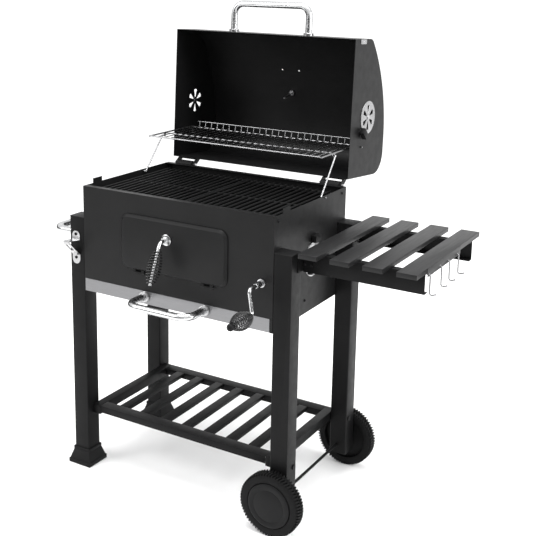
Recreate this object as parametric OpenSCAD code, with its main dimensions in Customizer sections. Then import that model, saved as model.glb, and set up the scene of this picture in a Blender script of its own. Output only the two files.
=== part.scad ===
// Barrel charcoal grill on a four-leg cart, with a side table, shown with its lid open.
// X runs along the width, Y to the back and Z up. Sizes are in millimetres.
// Inside the modules the front left corner of the firebox is X 0, Y 0 and the floor is Z 0.

/* [Firebox] */
// Outside width of the firebox
box_w = 600; // [560:5:660]
// Outside depth of the firebox
box_d = 400; // [380:5:440]
// Height of the firebox rim above the floor
box_top = 833; // [810:1:860]
// Height of the firebox's open bottom edge above the floor
box_bottom = 534; // [520:1:545]
// Height of the ash drawer's steel front
trim_h = 37; // [30:1:45]
// Thickness of the sheet steel
sheet = 1.2; // [1:0.1:2]
// Width of the folded rim on the front and back walls
rim_fold = 16; // [15:0.5:17]

/* [Legs] */
// Side of the square leg tubes
leg = 50; // [44:1:56]
// Wall of the leg tubes and shelf channels
tube_wall = 1; // [0.8:0.1:2]
// Height of the leg tops above the floor
leg_top = 743; // [730:1:755]
// Lower end of the two legs that stand on the axle
axle_leg_bottom = 62; // [55:1:70]
// Side of each plastic foot at the floor
foot_base = 77; // [70:1:84]
// Height of each plastic foot
foot_h = 50; // [40:1:60]

/* [Wheels] */
// Outside radius of the wheels over the tread
wheel_r = 86; // [82:1:90]
// Width of each wheel
wheel_w = 36; // [30:1:40]
// Radius of the axle rod
axle_r = 4; // [4:0.5:5]

/* [Bottom shelf] */
// Height of the shelf's upper side
shelf_top = 183; // [175:1:195]
// Number of shelf slats
shelf_slats = 7; // [5:1:8]

/* [Side table] */
// Height of the table's upper side
table_top = 752; // [745:1:765]
// Depth of the table, front to back
table_d = 440; // [400:5:440]
// Width of each table slat
slat_w = 50; // [44:1:56]
// Thickness of each table slat
slat_t = 12; // [10:1:14]
// Distance from one table slat to the next
slat_pitch = 84.5; // [80:0.5:90]

/* [Lid] */
// Width of the lid
lid_w = 590; // [550:5:590]
// Depth of the lid along its rim
lid_d = 386; // [370:1:388]
// Height of the closed lid above its rim
lid_h = 232; // [225:1:240]
// Angle between the closed lid and the open lid
lid_open = 93; // [93:1:95]

/* [Handles] */
// Radius of the chrome handle tubes
tube_r = 10; // [8:0.5:11]
// Distance from the lid to the middle of its handle's bar
lid_handle_out = 83; // [65:1:86]
// Distance from the drawer's front to the middle of its handle's bar
drawer_handle_out = 80; // [78:1:84]

/* [Crank] */
// Length of the crank arm
crank_arm = 63; // [55:1:70]
// Height through which the crank lifts the charcoal pan
pan_lift = 56; // [40:1:58]

/* [Hidden] */

black = [0.11, 0.11, 0.115];
dark = [0.2, 0.2, 0.21];
chrome = [0.8, 0.81, 0.82];
steel = [0.68, 0.69, 0.7];
rubber = [0.16, 0.16, 0.17];
$fn = 48;

// Clearances: free gap between moving faces, and radial gap of a pin in its hole
gap = 1;
running = 0.05;

// Lid hinge axis, and where the closed lid's rear rim corner lies
hinge_y = box_d + 14;
hinge_z = box_top - 3;
lid_back = box_d - 5;
lid_rim = box_top + 1;
lid_x = (box_w - lid_w) / 2;
hinge_pin_r = 3;
hinge_w = 66;
hinge_xs = [53, box_w - 53];

// Outline of the lid's end: a is measured forward from the rear rim, b up from the rim
top_r = 426;
top_a = 90;
front_r = 30;
rear_r = 60;
rear_bulge = 6;
front_ca = lid_d - front_r;
front_cb = lid_h - top_r + sqrt(pow(top_r - front_r, 2) - pow(front_ca - top_a, 2));
front_turn = atan2(front_cb - lid_h + top_r, front_ca - top_a);

// Parallelogram that carries the warming rack: both cranks are this long, (y, z)
link = [83, 98];
leg_pivot = [270, box_top - 5];
rack_pin = [hinge_y + link[0], hinge_z + link[1]];
rack_knee = [leg_pivot[0] + link[0], leg_pivot[1] + link[1]];
wire_r = 2.25;
rack_x0 = lid_x + 14;
rack_x1 = box_w - rack_x0;
rack_leg_x = [11, rack_x0 - 6];
rack_front = rack_knee[0] - 72;
rack_rear = rack_pin[0] - 6;
rack_z = rack_knee[1] + 6;

// Vents: discs with six wedge openings
vent_r = 47;
vent_slot = [10, 34];
vent_wedge = 26;
vent_t = 1.5;
vent_pin_r = 4;
lid_vent = [lid_back - 165, lid_rim + 108];
box_vent = [210, 675];
knob_at = 56;

// Thermometer on the curved top of the lid
gauge_a = 207;
gauge_turn = acos((gauge_a - top_a) / top_r);

// Crank shaft, pinion and pan
crank_x = 567;
crank_z = 660;
crank_lean = 10;
crank_front = 60;
rod_r = 5;
grip_len = 92;
ball_r = 9.5;
grip_r = 23;
pinion_r = 10;
pinion_teeth = 10;
tooth_pitch = 2 * PI * pinion_r / pinion_teeth;
tooth_add = 2;
pan_x = [40, 545];
pan_y = [40, 360];
pan_z = 622;
pan_h = 42;
rack_ys = [70, 330];
rack_t = 8;

// Fire door in the front wall
door_x = [132, 468];
door_z = [626, 778];
door_t = 8;
door_axis = [-5, 621];
door_pin_r = 1.3;
door_knuckle_r = 2.7;
door_corner = 25;
door_hinge_xs = [191, 409];
door_open_x = [150, 450];
door_open_z = [642, 762];
door_grip_x = 285;
door_grip_z = 727;
door_coil_r = 20;

// Drawer
drawer_x = [sheet + 0.5, box_w - 9];
drawer_depth = 386;
drawer_h = 30;
drawer_post_xs = [206, 398];

// Axle
axle_x = box_w + 20;
axle_z = wheel_r;
wheel_gap = 3;

// Table
table_x = 666;
rail_h = 50;
rail_w = 20;
rail_y = [54, 366];
rail_end = table_x + 3 * slat_pitch + slat_w + 1;
hook_ys = [73, 148, 203, 267];
hook_reach = 21;

// Push handle on the left
push_out = 78;
push_z = 690;
push_ys = [leg / 2 + 2, box_d - leg / 2 - 2];

// Ends of the whole object, which put the origin in the middle of its box
left_end = -leg - push_out - tube_r;
right_end = rail_end + hook_reach + 1.6;
front_end = -crank_front - grip_len - 2 * ball_r;
back_end = open_y([gauge_a, lid_h - top_r + top_r * sin(gauge_turn)])
    - 13 * cos(gauge_turn + lid_open) + 28 * abs(sin(gauge_turn + lid_open));
mid_x = (left_end + right_end) / 2;
mid_y = (front_end + back_end) / 2;

// ---------- helpers ----------

// Y of a point [a, b] of the lid's outline when the lid is open
function open_y(p) = hinge_y + (lid_back - p[0] - hinge_y) * cos(lid_open)
    + (lid_rim + p[1] - hinge_z) * sin(lid_open);

// Points of an arc in the plane
function arc(c, r, a0, a1, n) =
    [for (i = [0:n]) c + r * [cos(a0 + (a1 - a0) * i / n), sin(a0 + (a1 - a0) * i / n)]];

// Outline of the lid, drawn in by the thickness t
function lid_outline(t) = concat(
    [[lid_d - t, 0]],
    arc([front_ca, front_cb], front_r - t, 0, front_turn, 8),
    arc([top_a, lid_h - top_r], top_r - t, front_turn, 90, 24),
    arc([rear_r - rear_bulge, lid_h - rear_r], rear_r - t, 90, 180, 16),
    [[t, 0]]);

// Moves the whole object so that the origin is under the middle of its box
module placed() {
    translate([-mid_x, -mid_y, 0]) children();
}

// A box from its lowest corner to its highest corner
module block(a, b) {
    translate(a) cube(b - a);
}

// A rod from one point to another
module rod(a, b, r, n = 32) {
    d = b - a;
    translate(a)
        rotate([0, acos(d[2] / norm(d)), atan2(d[1], d[0])])
            cylinder(h = norm(d), r = r, $fn = n);
}

// A rod along X
module rod_x(x0, x1, y, z, r, n = 32) {
    translate([x0, y, z]) rotate([0, 90, 0]) cylinder(h = x1 - x0, r = r, $fn = n);
}

// A rod along Y
module rod_y(x, y0, y1, z, r, n = 32) {
    translate([x, y0, z]) rotate([-90, 0, 0]) cylinder(h = y1 - y0, r = r, $fn = n);
}

// Turns closed-lid coordinates into the open lid of the rest pose
module opened() {
    translate([0, hinge_y, hinge_z])
        rotate([-lid_open, 0, 0])
            translate([0, -hinge_y, -hinge_z]) children();
}

// Lid outline as a solid between two X values, in closed-lid coordinates
module lid_slab(x0, x1, t) {
    translate([x0, lid_back, lid_rim])
        rotate([90, 0, 90])
            linear_extrude(x1 - x0)
                polygon([for (p = lid_outline(t)) [-p[0], p[1]]]);
}

// U-shaped tube handle: posts at -w/2 and w/2 on X, bar at Y = -out
module tube_handle(w, out, bend = 30) {
    for (s = [-1, 1]) {
        rod_y(s * w / 2, -out + bend, 0, 0, tube_r);
        rod_y(s * w / 2, -8, 0, 0, tube_r + 5);
        translate([s * (w / 2 - bend), -out + bend, 0])
            rotate([0, 0, s > 0 ? -90 : 180]) elbow(bend, tube_r);
    }
    rod_x(-w / 2 + bend, w / 2 - bend, -out, 0, tube_r);
}

// Quarter bend from +X round to +Y
module elbow(bend, r) {
    rotate_extrude(angle = 90, $fn = 64) translate([bend, 0]) circle(r = r, $fn = 32);
}

// Six wedge openings about the X axis, cut through x0 to x1
module wedges(x0, x1) {
    for (k = [0:5])
        translate([x0, 0, 0]) rotate([60 * k, 0, 0]) rotate([90, 0, 90])
            linear_extrude(x1 - x0)
                polygon([
                    vent_slot[0] * [cos(vent_wedge * 0.3), sin(vent_wedge * 0.3)],
                    vent_slot[1] * [cos(vent_wedge / 2), sin(vent_wedge / 2)],
                    (vent_slot[1] + 2) * [1, 0],
                    vent_slot[1] * [cos(vent_wedge / 2), -sin(vent_wedge / 2)],
                    vent_slot[0] * [cos(vent_wedge * 0.3), -sin(vent_wedge * 0.3)]]);
}

// Vent disc about the X axis, its back on X = 0, with a finger knob at the angle given
module vent_disc(knob_angle, turn = 0) {
    color(steel) difference() {
        union() {
            rotate([0, 90, 0]) cylinder(h = vent_t, r = vent_r, $fn = 96);
            rotate([knob_angle, 0, 0]) block([0, vent_r - 6, -9], [vent_t, knob_at + 6, 9]);
        }
        wedges(-1, vent_t + 1);
        translate([-1, 0, 0]) rotate([0, 90, 0])
            cylinder(h = vent_t + 2, r = vent_pin_r + running, $fn = 32);
    }
    color(black) rotate([knob_angle, 0, 0])
        block([vent_t, knob_at - 8, -15], [vent_t + 14, knob_at + 10, 15]);
}

// Pin that a vent disc turns on, in a wall between X = -w and X = 0
module vent_pin(w) {
    translate([-w - 2, 0, 0]) rotate([0, 90, 0]) cylinder(h = 2, r = 7, $fn = 32);
    translate([-w, 0, 0]) rotate([0, 90, 0])
        cylinder(h = w + vent_t + 0.6, r = vent_pin_r, $fn = 32);
    translate([vent_t + 0.6, 0, 0]) rotate([0, 90, 0]) cylinder(h = 2, r = 7, $fn = 32);
}

// Pan-head screw whose seat is at the origin and whose head points along -Y
module screw_head(r = 5, h = 3) {
    rotate([90, 0, 0]) cylinder(h = h, r = r, $fn = 24);
}

// ---------- cart frame ----------

module leg_tube(x, y, z0, floor_t = -1) {
    difference() {
        block([x, y, z0], [x + leg, y + leg, leg_top - 2]);
        block([x + tube_wall, y + tube_wall, z0 + floor_t],
            [x + leg - tube_wall, y + leg - tube_wall, leg_top]);
    }
}

module legs() {
    color(dark) placed() {
        for (y = [0, box_d - leg]) {
            leg_tube(-leg, y, 12);
            difference() {
                leg_tube(box_w, y, axle_leg_bottom, 2);
                rod_y(axle_x, y - 1, y + leg + 1, axle_z, axle_r + running);
            }
        }
    }
}

module leg_caps() {
    color(black) placed()
        for (x = [-leg, box_w], y = [0, box_d - leg]) {
            block([x, y, leg_top - 2], [x + leg, y + leg, leg_top]);
            difference() {
                block([x + tube_wall, y + tube_wall, leg_top - 14],
                    [x + leg - tube_wall, y + leg - tube_wall, leg_top - 2]);
                block([x + 4, y + 4, leg_top - 15], [x + leg - 4, y + leg - 4, leg_top - 2]);
            }
        }
}

module foot(x, y) {
    e = (foot_base - leg) / 2;
    difference() {
        union() {
            block([x - e, y - e, 0], [x + leg + e, y + leg + e, 13]);
            hull() {
                block([x - e + 2, y - e + 2, 13], [x + leg + e - 2, y + leg + e - 2, 13.1]);
                block([x - 3, y - 3, foot_h - 10], [x + leg + 3, y + leg + 3, foot_h - 9.9]);
            }
            block([x - 3, y - 3, foot_h - 10], [x + leg + 3, y + leg + 3, foot_h]);
        }
        block([x, y, 12], [x + leg, y + leg, foot_h + 1]);
    }
}

module feet() {
    color(black) placed() {
        foot(-leg, 0);
        foot(-leg, box_d - leg);
    }
}

module axle() {
    color(black) placed()
        rod_y(axle_x, -wheel_gap - wheel_w + 2, box_d + wheel_gap + wheel_w - 2, axle_z,
            axle_r);
}

// Lock nuts and washers that keep the wheels on the axle
module axle_nuts() {
    color(steel) placed() difference() {
        for (y = [[-wheel_gap + 0.5, 0], [box_d, box_d + wheel_gap - 0.5],
            [-wheel_gap - wheel_w + 3, -wheel_gap - wheel_w + 8.5],
            [box_d + wheel_gap + wheel_w - 8.5, box_d + wheel_gap + wheel_w - 3]])
            rod_y(axle_x, y[0], y[1], axle_z, 9);
        rod_y(axle_x, -100, box_d + 100, axle_z, axle_r);
    }
}

// Wheel about the Y axis, outer face at Y = 0 and inner face at Y = w
module wheel_body() {
    rotate([-90, 0, 0]) rotate_extrude($fn = 120)
        polygon([[axle_r + running, 9], [14, 9], [14, 12], [wheel_r - 24, 12],
            [wheel_r - 22, 1], [wheel_r - 5, 1], [wheel_r, 6], [wheel_r, wheel_w - 6],
            [wheel_r - 5, wheel_w - 1], [wheel_r - 22, wheel_w - 1],
            [wheel_r - 24, wheel_w - 12], [16, wheel_w - 12], [14, wheel_w],
            [axle_r + running, wheel_w]]);
}

module wheel_front() {
    color(rubber) placed()
        translate([axle_x, -wheel_gap - wheel_w, axle_z]) wheel_body();
}

module wheel_rear() {
    color(rubber) placed()
        translate([axle_x, box_d + wheel_gap + wheel_w, axle_z])
            rotate([0, 0, 180]) wheel_body();
}

// Hub cap: a shallow dish that clips into the wheel's outer recess
module hubcap() {
    rotate([-90, 0, 0]) rotate_extrude($fn = 96)
        polygon([[0, -1.5], [wheel_r - 30, -1.5], [wheel_r - 25, 1.5],
            [wheel_r - 25, 11.5], [wheel_r - 28, 11.5], [wheel_r - 28, 2], [0, 0.5]]);
}

module hubcap_front() {
    color(black) placed()
        translate([axle_x, -wheel_gap - wheel_w, axle_z]) hubcap();
}

module hubcap_rear() {
    color(black) placed()
        translate([axle_x, box_d + wheel_gap + wheel_w, axle_z])
            rotate([0, 0, 180]) hubcap();
}

// ---------- bottom shelf ----------

shelf_y = [23, box_d - 23];
shelf_rail = 34;
shelf_bar = 26;
shelf_inner = [shelf_y[0] + shelf_rail, shelf_y[1] - shelf_rail];
shelf_step = (box_w - shelf_bar) / (shelf_slats + 1);

module shelf_frame() {
    color(dark) placed() {
        for (x = [0, box_w - shelf_bar])
            difference() {
                block([x, shelf_y[0], shelf_top - 26],
                    [x + shelf_bar, shelf_y[1], shelf_top]);
                block([x + tube_wall, shelf_y[0] + tube_wall, shelf_top - 27],
                    [x + shelf_bar - tube_wall, shelf_y[1] - tube_wall,
                    shelf_top - tube_wall]);
            }
        for (y = [shelf_y[0], shelf_inner[1]])
            difference() {
                block([shelf_bar + 0.2, y, shelf_top - 20],
                    [box_w - shelf_bar - 0.2, y + shelf_rail, shelf_top]);
                block([shelf_bar, y + tube_wall, shelf_top - 21],
                    [box_w - shelf_bar, y + shelf_rail - tube_wall, shelf_top - tube_wall]);
            }
    }
}

module shelf_slats() {
    color(dark) placed()
        for (k = [1:shelf_slats])
            translate([shelf_bar / 2 + k * shelf_step, 0, 0])
                difference() {
                    block([-13, shelf_inner[0] + 0.2, shelf_top - 12],
                        [13, shelf_inner[1] - 0.2, shelf_top]);
                    block([-13 + tube_wall, shelf_inner[0], shelf_top - 13],
                        [13 - tube_wall, shelf_inner[1], shelf_top - tube_wall]);
                }
}

// Bolts with cap nuts that hold the shelf between the legs
module shelf_bolts() {
    color(black) placed()
        for (y = [36, box_d - 36]) {
            rod_x(shelf_bar, shelf_bar + 4, y, shelf_top - 13, 7, 24);
            rod_x(box_w - shelf_bar - 4, box_w - shelf_bar, y, shelf_top - 13, 7, 24);
            rod_x(-leg - 3, -leg, y, shelf_top - 13, 7, 24);
            rod_x(box_w + leg, box_w + leg + 3, y, shelf_top - 13, 7, 24);
        }
}

// ---------- firebox ----------

module box_front() {
    color(dark) placed() difference() {
        union() {
            block([sheet, 0, box_bottom + trim_h], [box_w - sheet, sheet, box_top]);
            block([sheet, sheet, box_top - sheet],
                [box_w - sheet, rim_fold, box_top]);
        }
        block([door_open_x[0], -1, door_open_z[0]],
            [door_open_x[1], sheet + 1, door_open_z[1]]);
        rod_y(crank_x, -1, sheet + 1, crank_z, 8);
    }
}

module box_back() {
    color(dark) placed() {
        block([sheet, box_d - sheet, box_bottom], [box_w - sheet, box_d, box_top]);
        block([sheet, box_d - rim_fold, box_top - sheet],
            [box_w - sheet, box_d - sheet, box_top]);
    }
}

// Side wall with its upright lid tab, vent openings and the rack leg's hole
module side_wall(x) {
    difference() {
        union() {
            block([x, 0, box_bottom], [x + sheet, box_d, box_top]);
            block([x, 42, box_top], [x + sheet, 80, box_top + 13]);
        }
        translate([x, box_vent[0], box_vent[1]]) {
            wedges(-1, sheet + 1);
            translate([-1, 0, 0]) rotate([0, 90, 0])
                cylinder(h = sheet + 2, r = vent_pin_r, $fn = 32);
        }
        rod_x(x - 1, x + sheet + 1, leg_pivot[0], leg_pivot[1], wire_r + running);
    }
}

module box_left() {
    color(dark) placed() side_wall(0);
}

module box_right() {
    color(dark) placed() {
        side_wall(box_w - sheet);
        block([drawer_x[1] + 1, 0, box_bottom],
            [box_w - sheet, sheet, box_bottom + trim_h - 1]);
    }
}

// Angle strips that the ash drawer slides on
module drawer_runners() {
    color(dark) placed()
        for (x = [sheet, box_w - sheet - 14])
            block([x, 6, box_bottom], [x + 14, box_d - 6, box_bottom + 1.5]);
}

module box_screws() {
    color(black) placed() {
        for (y = [20, box_d - 24], z = [box_top - 14])
            rod_x(box_w, box_w + 2.5, y, z, 4, 24);
        for (y = [20, box_d - 24], z = [box_top - 14])
            rod_x(-2.5, 0, y, z, 4, 24);
        rod_x(box_w, box_w + 2.5, 169, box_bottom + trim_h, 4, 24);
        rod_x(-2.5, 0, 169, box_bottom + trim_h, 4, 24);
    }
}

// Ledges inside the firebox that carry the cooking grates
ledge_z = box_top - 22;

module grate_ledges() {
    color(dark) placed()
        for (y = [sheet, box_d - sheet - 28])
            block([sheet, y, ledge_z - 2], [box_w - sheet, y + 28, ledge_z]);
}

// ---------- lid ----------

module lid_shell() {
    color(dark) placed() opened() difference() {
        lid_slab(lid_x + sheet, lid_x + lid_w - sheet, 0);
        lid_slab(lid_x, lid_x + lid_w, sheet);
        lid_top_hole(293, gauge_a, 5);
        lid_top_hole(269, 276, 2.2);
        lid_top_hole(326, 276, 2.2);
    }
}

// Hole square to the curved top of the lid, at a mm forward of its rear rim
module lid_top_hole(x, a, r) {
    turn = acos((a - top_a) / top_r);
    translate([x, lid_back - top_a, lid_rim + lid_h - top_r])
        rotate([90 - turn, 0, 0])
            translate([0, 0, top_r - 10]) cylinder(h = 20, r = r, $fn = 32);
}

// Places children on the curved top of the lid, Z outwards
module on_lid_top(x, a) {
    turn = acos((a - top_a) / top_r);
    opened() translate([x, lid_back - top_a, lid_rim + lid_h - top_r])
        rotate([90 - turn, 0, 0]) translate([0, 0, top_r]) children();
}

module lid_end(x) {
    difference() {
        lid_slab(x, x + sheet, 0);
        translate([x, lid_vent[0], lid_vent[1]]) {
            wedges(-1, sheet + 1);
            translate([-1, 0, 0]) rotate([0, 90, 0])
                cylinder(h = sheet + 2, r = vent_pin_r, $fn = 32);
        }
        rack_pin_hole(x);
    }
}

// Hole for the warming rack's pivot wire, where the closed lid holds it
module rack_pin_hole(x) {
    c = cos(lid_open);
    s = sin(lid_open);
    y = hinge_y + link[0] * c - link[1] * s;
    z = hinge_z + link[0] * s + link[1] * c;
    rod_x(x - 1, x + sheet + 1, y, z, wire_r + running);
}

module lid_ends() {
    color(dark) placed() opened() {
        lid_end(lid_x);
        lid_end(lid_x + lid_w - sheet);
    }
}

module lid_handle() {
    color(chrome) placed() opened()
        translate([box_w / 2, lid_back - lid_d, lid_rim + 50])
            tube_handle(248, lid_handle_out);
}

module thermometer() {
    color(steel) placed() on_lid_top(293, gauge_a) {
        translate([0, 0, 1]) rotate_extrude($fn = 64)
            polygon([[0, 0], [22, 0], [30, 3], [31, 8], [28, 12], [26, 12], [25.5, 8],
                [0, 8]]);
        translate([0, 0, -10]) cylinder(h = 11, r = 5, $fn = 32);
        translate([0, 0, -8]) cylinder(h = 6, r = 9, $fn = 6);
        translate([0, 0, -55]) cylinder(h = 46, r = 2.5, $fn = 24);
    }
}

// Lid hinges: two ears on the lid's leaf outside one wide barrel on the box's leaf
ear_t = 4;
leaf_y = lid_back + 1.3;

module ear(x, plate_y0, plate_y1, z0, z1, bore, w = ear_t, r = 8) {
    translate([x, 0, 0]) difference() {
        hull() {
            rod_x(0, w, hinge_y, hinge_z, r);
            block([0, plate_y0, z0], [w, plate_y1, z1]);
        }
        rod_x(-1, w + 1, hinge_y, hinge_z, bore);
    }
}

module lid_hinge_leaves() {
    color(black) placed() opened()
        for (c = hinge_xs) {
            difference() {
                block([c - hinge_w / 2, leaf_y, lid_rim + 7],
                    [c + hinge_w / 2, leaf_y + 3, lid_rim + 34]);
                rod_y(c, leaf_y - 1, leaf_y + 4, lid_rim + 20, 3);
            }
            for (x = [c - hinge_w / 2, c + hinge_w / 2 - ear_t])
                ear(x, leaf_y, leaf_y + 3, lid_rim + 7, lid_rim + 26, hinge_pin_r + running);
        }
}

module box_hinge_leaves() {
    color(black) placed()
        for (c = hinge_xs) {
            block([c - hinge_w / 2 + 6, box_d, box_top - 40],
                [c + hinge_w / 2 - 6, box_d + 3, box_top - 12]);
            ear(c - hinge_w / 2 + ear_t + 1, box_d, box_d + 3, box_top - 34, box_top - 14,
                hinge_pin_r, hinge_w - 2 * ear_t - 2, 12);
        }
}

module lid_hinge_pins() {
    color(chrome) placed()
        for (c = hinge_xs) {
            rod_x(c - hinge_w / 2 - 1, c + hinge_w / 2 + 6, hinge_y, hinge_z, hinge_pin_r);
            rod_x(c - hinge_w / 2 - 4, c - hinge_w / 2 - 1, hinge_y, hinge_z, 5.5);
            rod_x(c + hinge_w / 2 + 0.5, c + hinge_w / 2 + 5.5, hinge_y, hinge_z, 5.5, 6);
        }
}

// ---------- vents ----------

module vent_disc_lid_left() {
    placed() opened() translate([lid_x - 0.3, lid_vent[0], lid_vent[1]])
        mirror([1, 0, 0]) vent_disc(-lid_open - 45 + 180);
}

module vent_disc_lid_right() {
    placed() opened() translate([lid_x + lid_w + 0.3, lid_vent[0], lid_vent[1]])
        vent_disc(lid_open - 135);
}

module vent_disc_box_left() {
    placed() translate([-0.3, box_vent[0], box_vent[1]]) mirror([1, 0, 0]) vent_disc(90);
}

module vent_disc_box_right() {
    placed() translate([box_w + 0.3, box_vent[0], box_vent[1]]) vent_disc(90);
}

module vent_pins_lid() {
    color(steel) placed() opened() {
        translate([lid_x, lid_vent[0], lid_vent[1]]) mirror([1, 0, 0]) vent_pin(sheet);
        translate([lid_x + lid_w, lid_vent[0], lid_vent[1]]) vent_pin(sheet);
    }
}

module vent_pins_box() {
    color(steel) placed() {
        translate([0, box_vent[0], box_vent[1]]) mirror([1, 0, 0]) vent_pin(sheet);
        translate([box_w, box_vent[0], box_vent[1]]) vent_pin(sheet);
    }
}

// ---------- warming rack ----------

rack_wires = 26;
fence_h = 18;
fence_x = [rack_x0 + 26, rack_x1 - 10];

module warming_rack() {
    color(chrome) placed() {
        step = (rack_x1 - rack_x0 - 24) / (rack_wires - 1);
        rod_x(rack_x0, rack_x1, rack_front, rack_z, wire_r);
        rod_x(rack_x0, rack_x1, rack_knee[0] + 9, rack_z - 2.5, 2);
        rod_x(rack_x0, rack_x1, rack_rear, rack_z, wire_r);
        rod_x(fence_x[0], fence_x[1], rack_rear + 4, rack_z + fence_h, 1.6);
        for (k = [0:rack_wires - 1]) {
            x = rack_x0 + 12 + k * step;
            rod_y(x, rack_front - 1, rack_rear + 1, rack_z + 2.5, 1.3, 16);
            if (x > fence_x[0] && x < fence_x[1])
                rod([x, rack_rear, rack_z + 2.5], [x, rack_rear + 4, rack_z + fence_h], 1.2,
                    16);
        }
        for (x = [rack_x0, rack_x1]) {
            rod_y(x, rack_front - 3, rack_pin[0] + 3, rack_z, wire_r + 0.25);
            difference() {
                rod_x(x - 2, x + 2, rack_knee[0], rack_knee[1], 5.5);
                rod_x(x - 3, x + 3, rack_knee[0], rack_knee[1], wire_r + 1);
            }
        }
        rod_x(lid_x - 5, rack_x0 + 2, rack_pin[0], rack_pin[1], wire_r);
        rod_x(rack_x1 - 2, lid_x + lid_w + 5, rack_pin[0], rack_pin[1], wire_r);
    }
}

// Wire leg: hooked through the side wall at the bottom and into the rack's ring at the top
module rack_leg() {
    rod_x(-4, rack_leg_x[0], leg_pivot[0], leg_pivot[1], wire_r);
    translate([rack_leg_x[0], leg_pivot[0], leg_pivot[1]]) sphere(r = wire_r + 0.2, $fn = 32);
    rod([rack_leg_x[0], leg_pivot[0], leg_pivot[1]],
        [rack_leg_x[1], rack_knee[0], rack_knee[1]], wire_r);
    translate([rack_leg_x[1], rack_knee[0], rack_knee[1]]) sphere(r = wire_r + 0.2, $fn = 32);
    rod_x(rack_leg_x[1], rack_x0 + 4, rack_knee[0], rack_knee[1], wire_r);
}

module rack_legs() {
    color(chrome) placed() {
        rack_leg();
        translate([box_w, 0, 0]) mirror([1, 0, 0]) rack_leg();
    }
}

// ---------- cooking and charcoal grates ----------

grate_bars = 15;
grate_pitch = 19.7;
grate_bar_r = 2.5;

module cooking_grate(x0) {
    y0 = rim_fold + 2;
    y1 = box_d - rim_fold - 2;
    z = ledge_z + 7.2;
    w = (grate_bars - 1) * grate_pitch;
    for (k = [0:grate_bars - 1])
        rod_y(x0 + k * grate_pitch, y0, y1, z, grate_bar_r, 16);
    for (y = [y0 + 6, box_d / 2, y1 - 6])
        rod_x(x0 - 3, x0 + w + 3, y, z - 4.2, 3, 16);
}

module cooking_grate_left() {
    color(dark) placed() cooking_grate(box_w / 2 - 5 - (grate_bars - 1) * grate_pitch);
}

module cooking_grate_right() {
    color(dark) placed() cooking_grate(box_w / 2 + 5);
}

module charcoal_pan() {
    color(dark) placed() difference() {
        union() {
            block([pan_x[0], pan_y[0], pan_z], [pan_x[1], pan_y[1], pan_z + pan_h]);
            for (y = [100, 300])
                block([sheet + 6, y - 2, pan_z + 6], [pan_x[0], y + 2, pan_z + pan_h - 4]);
        }
        block([pan_x[0] + 2, pan_y[0] + 2, pan_z + 2],
            [pan_x[1] - 2, pan_y[1] - 2, pan_z + pan_h + 1]);
        for (k = [0:10], y = [120, 200, 280])
            translate([pan_x[0] + 52 + k * 40, y, pan_z - 1])
                cylinder(h = 4, r = 5, $fn = 24);
    }
}

module charcoal_grate() {
    color(dark) placed() {
        for (y = [pan_y[0] + 40, pan_y[1] - 40])
            block([pan_x[0] + 6, y - 3, pan_z + 2], [pan_x[1] - 6, y + 3, pan_z + 12]);
        for (k = [0:22])
            rod_y(pan_x[0] + 10 + k * 22, pan_y[0] + 6, pan_y[1] - 6, pan_z + 14.5, 3, 16);
    }
}

// Channels on the left wall that keep the pan upright as it rises
module pan_guides() {
    color(dark) placed()
        for (y = [100, 300]) {
            block([sheet, y - 10, pan_z - 30], [sheet + 3, y + 10, pan_z + pan_h + 70]);
            for (s = [-1, 1])
                translate([0, y + s * 6, 0])
                    block([sheet + 3, -2, pan_z - 30], [sheet + 24, 2, pan_z + pan_h + 70]);
        }
}

// Toothed strips on the pan's right end
module lift_racks() {
    root_x = crank_x - pinion_r - tooth_add - 0.6;
    color(steel) placed()
        for (y = rack_ys) {
            block([pan_x[1], y - rack_t / 2, pan_z - 34], [root_x, y + rack_t / 2,
                pan_z + pan_h + 6]);
            for (k = [-11:0])
                translate([root_x, y + rack_t / 2, crank_z + k * tooth_pitch])
                    rotate([90, 0, 0]) linear_extrude(rack_t)
                        polygon([[-0.5, -1.7], [0, -1.5], [2 * tooth_add + 0.4, -0.7],
                            [2 * tooth_add + 0.4, 0.7], [0, 1.5], [-0.5, 1.7]]);
        }
}

// Ten-tooth pinions pinned on the crank shaft
module lift_pinions() {
    color(steel) placed()
        for (y = rack_ys)
            translate([crank_x, y, crank_z]) difference() {
                union() {
                    rod_y(0, -rack_t / 2, rack_t / 2, 0, pinion_r - tooth_add - 0.6);
                    for (k = [0:pinion_teeth - 1])
                        rotate([0, 360 * (k + 0.5) / pinion_teeth, 0])
                            translate([-pinion_r, rack_t / 2, 0])
                                rotate([90, 0, 0]) linear_extrude(rack_t)
                                    polygon([[tooth_add + 1.5, -1.6], [-tooth_add, -0.6],
                                        [-tooth_add, 0.6], [tooth_add + 1.5, 1.6]]);
                }
                rod_y(0, -rack_t, rack_t, 0, rod_r);
            }
}

// ---------- crank ----------

// Crank coordinates: the shaft lies on Y and the arm hangs down, leaning a little
module at_crank() {
    translate([crank_x, 0, crank_z]) rotate([0, -crank_lean, 0]) children();
}

module crank_rod() {
    bend = 9;
    color(chrome) placed() at_crank() {
        rod_y(0, -crank_front + bend, 352, 0, rod_r);
        translate([0, -crank_front + bend, -bend]) rotate([180, -90, 0]) elbow(bend, rod_r);
        rod([0, -crank_front, -bend], [0, -crank_front, -crank_arm + bend], rod_r);
        translate([0, -crank_front - bend, -crank_arm + bend]) rotate([-90, 0, 90])
            elbow(bend, rod_r);
        rod_y(0, -crank_front - grip_len - ball_r, -crank_front - bend, -crank_arm, rod_r);
        translate([0, -crank_front - grip_len - ball_r, -crank_arm])
            sphere(r = ball_r, $fn = 32);
        translate([0, -8, 0]) rotate([90, 0, 0]) cylinder(h = 22, r1 = 8, r2 = 6, $fn = 32);
        rod_y(0, 10, 18, 0, ball_r);
    }
}

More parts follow.
